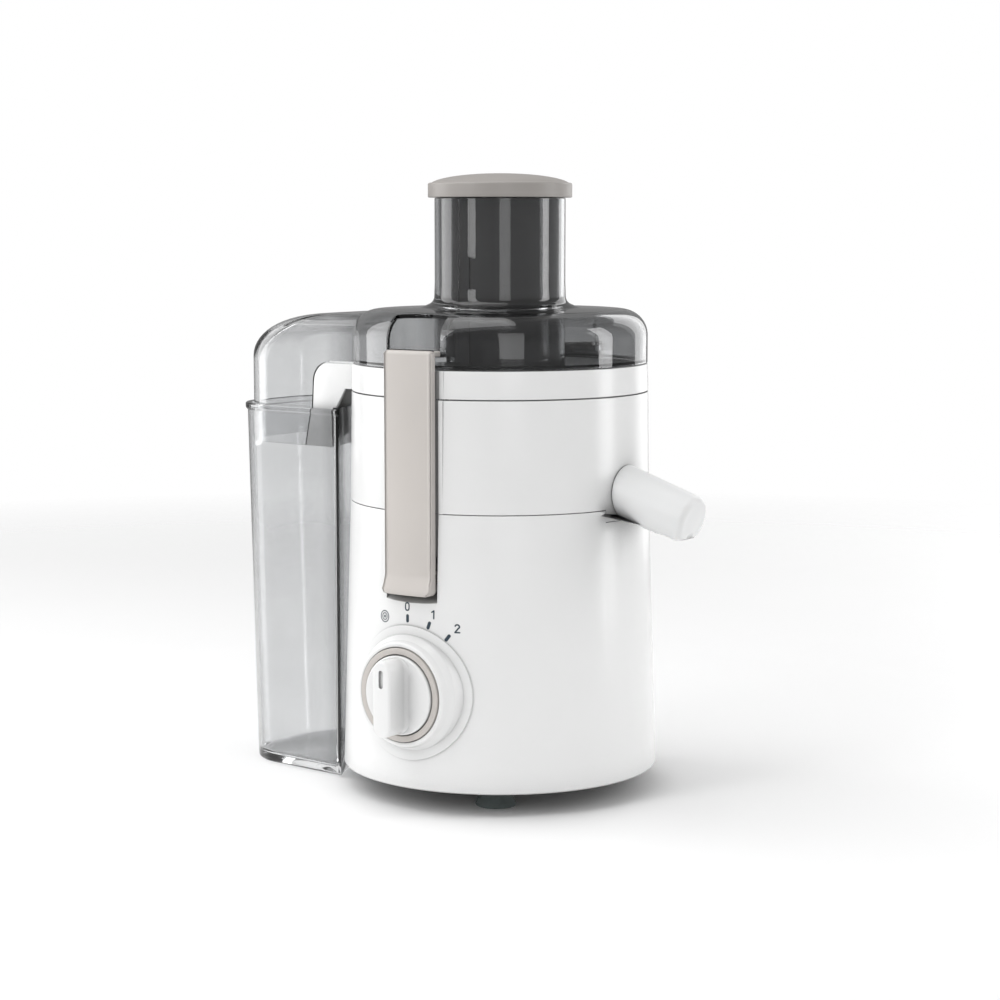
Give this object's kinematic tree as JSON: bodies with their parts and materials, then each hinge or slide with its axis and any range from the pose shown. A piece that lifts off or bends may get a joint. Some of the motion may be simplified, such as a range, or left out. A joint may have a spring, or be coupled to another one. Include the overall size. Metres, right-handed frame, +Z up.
{
  "type": "centrifugal juicer",
  "caption": "Countertop centrifugal juicer with a round motor base, juice bowl with spout, clear lid with feed tube and pusher, side clamps, dial knob and a removable pulp tank.",
  "frame": {"origin": "middle of the footprint box, on the surface the feet stand on", "axes": "+Z up along the drive shaft, -Y toward the front with the knob, +X toward the juice spout, -X toward the pulp tank"},
  "size_m": [0.3078, 0.2126, 0.36],
  "materials": {
    "white_plastic": "gloss moulded ABS",
    "frosted_plastic": "frosted translucent plastic",
    "smoke_clear": "clear smoke-tinted plastic, polished",
    "warm_grey_plastic": "satin moulded plastic",
    "cap_grey_plastic": "satin moulded plastic",
    "dark_plastic": "moulded plastic",
    "rubber": "matt rubber",
    "steel": "stainless steel",
    "motor_iron": "laminated electrical steel",
    "copper": "enamelled copper",
    "brass": "stamped brass",
    "black_plastic": "moulded plastic",
    "circuit_board": "epoxy board"
  },
  "bodies": {
    "base": {"base_housing": "white_plastic", "base_plate": "dark_plastic", "mains_inlet": "rubber", "knob_trim": "warm_grey_plastic", "speed_switch": "black_plastic", "interlock_switch": "black_plastic", "interlock_spring": "steel", "filter_board": "circuit_board", "shaft_seal": "rubber", "foot_front_right": "rubber", "foot_back_right": "rubber", "foot_front_left": "rubber", "foot_back_left": "rubber", "base_screw_1": "steel", "base_screw_2": "steel", "base_screw_3": "steel", "base_screw_4": "steel", "stator_core": "motor_iron", "field_coil_right": "copper", "field_coil_left": "copper", "upper_bracket": "motor_iron", "lower_bracket": "motor_iron", "upper_bearing": "steel", "lower_bearing": "steel", "brush_holder_front": "brass", "carbon_brush_front": "black_plastic", "clamp_pin_front": "steel", "brush_holder_back": "brass", "carbon_brush_back": "black_plastic", "clamp_pin_back": "steel", "motor_mount_1": "rubber", "motor_mount_2": "rubber", "motor_mount_3": "rubber", "motor_mount_4": "rubber", "juice_bowl": "white_plastic", "juice_spout": "frosted_plastic", "bowl_seal": "rubber", "chute_collar": "white_plastic", "lid": "smoke_clear"},
    "drive": {"armature": "motor_iron", "commutator": "copper", "motor_shaft": "steel", "cooling_fan": "black_plastic", "drive_coupling": "dark_plastic", "strainer_hub": "white_plastic", "grating_disc": "steel", "strainer_basket": "steel", "strainer_rim": "white_plastic"},
    "knob": {"knob": "white_plastic", "knob_spindle": "steel"},
    "clamp_front": {"clamp_front": "warm_grey_plastic"},
    "clamp_back": {"clamp_back": "warm_grey_plastic"},
    "pulp_tank": {"pulp_tank": "smoke_clear"},
    "pusher": {"pusher_body": "dark_plastic", "pusher_cap": "cap_grey_plastic"},
    "interlock": {"interlock_pin": "warm_grey_plastic"}
  },
  "joints": [
    {"name": "knob_turn", "type": "hinge", "parent": "base", "child": "knob", "pos_m": [0.01909, -0.0843, 0.068], "axis": [0, 1, 0], "range_deg": [-25, 40]},
    {"name": "pusher_lift", "type": "slide", "parent": "base", "child": "pusher", "axis": [0, 0, 1], "range_m": [0, 0.135]},
    {"name": "drive_spin", "type": "hinge", "parent": "base", "child": "drive", "pos_m": [0.01909, 0.0107, 0.19], "axis": [0, 0, 1], "continuous": true},
    {"name": "clamp_front_swing", "type": "hinge", "parent": "base", "child": "clamp_front", "pos_m": [0.01909, -0.0733, 0.134], "axis": [1, 0, 0], "range_deg": [0, 30]},
    {"name": "clamp_back_swing", "type": "hinge", "parent": "base", "child": "clamp_back", "pos_m": [0.01909, 0.0947, 0.134], "axis": [-1, 0, 0], "range_deg": [0, 30]},
    {"name": "tank_tilt", "type": "hinge", "parent": "base", "child": "pulp_tank", "pos_m": [-0.07751, 0.0107, 0.212], "axis": [0, 1, 0], "range_deg": [0, 6]},
    {"name": "interlock_press", "type": "slide", "parent": "base", "child": "interlock", "axis": [0, 0, 1], "range_m": [-0.002, 0], "stiffness_N_per_m": 200, "springref_m": 0.004, "deforming": ["interlock_spring"]}
  ]
}
